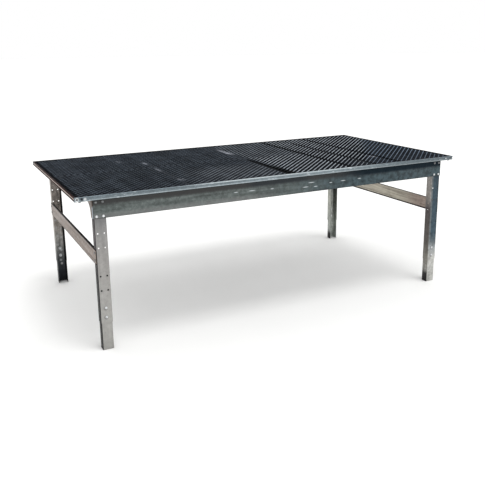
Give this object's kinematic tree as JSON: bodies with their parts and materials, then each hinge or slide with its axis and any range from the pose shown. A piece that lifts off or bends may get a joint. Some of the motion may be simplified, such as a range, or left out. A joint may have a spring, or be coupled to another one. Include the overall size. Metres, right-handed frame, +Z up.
{
  "type": "potting bench",
  "caption": "Greenhouse potting bench with a black plastic lattice top, galvanised edge trim and frame, and legs with sliding extensions.",
  "frame": {"origin": "centre of the bottom of the bounding box, on the floor between the feet", "axes": "+X along the bench's length, +Y from its front to its back, +Z up"},
  "size_m": [2.4384, 1.2192, 0.8382],
  "materials": {
    "black_plastic": "moulded, slightly weathered",
    "galvanised_steel": "hot-dip galvanised, dull with spangle",
    "trim_steel": "bright galvanised, roll formed",
    "leg_steel": "galvanised, dull grey",
    "brace_steel": "galvanised, slightly stained",
    "zinc_plate": "zinc plated"
  },
  "bodies": {
    "bench": {"front_panel_1": "black_plastic", "front_panel_2": "black_plastic", "front_panel_3": "black_plastic", "front_panel_4": "black_plastic", "back_panel_1": "black_plastic", "back_panel_2": "black_plastic", "back_panel_3": "black_plastic", "back_panel_4": "black_plastic", "front_trim": "trim_steel", "back_trim": "trim_steel", "left_end_trim": "trim_steel", "right_end_trim": "trim_steel", "front_rail": "galvanised_steel", "back_rail": "galvanised_steel", "joist_1": "galvanised_steel", "joist_2": "galvanised_steel", "joist_3": "galvanised_steel", "joist_4": "galvanised_steel", "joist_5": "galvanised_steel", "joist_6": "galvanised_steel", "joist_7": "galvanised_steel", "joist_8": "galvanised_steel", "joist_9": "galvanised_steel", "joist_10": "galvanised_steel", "left_end_joist": "galvanised_steel", "right_end_joist": "galvanised_steel", "front_left_leg": "leg_steel", "front_left_gusset": "brace_steel", "front_right_leg": "leg_steel", "front_right_gusset": "brace_steel", "back_left_leg": "leg_steel", "back_left_gusset": "brace_steel", "back_right_leg": "leg_steel", "back_right_gusset": "brace_steel", "left_end_brace": "brace_steel", "right_end_brace": "brace_steel", "front_left_extension_bolt_1": "zinc_plate", "front_left_brace_bolt_1": "zinc_plate", "front_left_extension_bolt_2": "zinc_plate", "front_left_brace_bolt_2": "zinc_plate", "front_right_extension_bolt_1": "zinc_plate", "front_right_brace_bolt_1": "zinc_plate", "front_right_extension_bolt_2": "zinc_plate", "front_right_brace_bolt_2": "zinc_plate", "back_left_extension_bolt_1": "zinc_plate", "back_left_brace_bolt_1": "zinc_plate", "back_left_extension_bolt_2": "zinc_plate", "back_left_brace_bolt_2": "zinc_plate", "back_right_extension_bolt_1": "zinc_plate", "back_right_brace_bolt_1": "zinc_plate", "back_right_extension_bolt_2": "zinc_plate", "back_right_brace_bolt_2": "zinc_plate"},
    "front_left_foot": {"front_left_leg_extension": "leg_steel"},
    "front_right_foot": {"front_right_leg_extension": "leg_steel"},
    "back_left_foot": {"back_left_leg_extension": "leg_steel"},
    "back_right_foot": {"back_right_leg_extension": "leg_steel"}
  },
  "joints": [
    {"name": "front_left_leg_height", "type": "slide", "parent": "bench", "child": "front_left_foot", "axis": [0, 0, -1], "range_m": [0, 0.1524]},
    {"name": "front_right_leg_height", "type": "slide", "parent": "bench", "child": "front_right_foot", "axis": [0, 0, -1], "range_m": [0, 0.1524]},
    {"name": "back_left_leg_height", "type": "slide", "parent": "bench", "child": "back_left_foot", "axis": [0, 0, -1], "range_m": [0, 0.1524]},
    {"name": "back_right_leg_height", "type": "slide", "parent": "bench", "child": "back_right_foot", "axis": [0, 0, -1], "range_m": [0, 0.1524]}
  ]
}
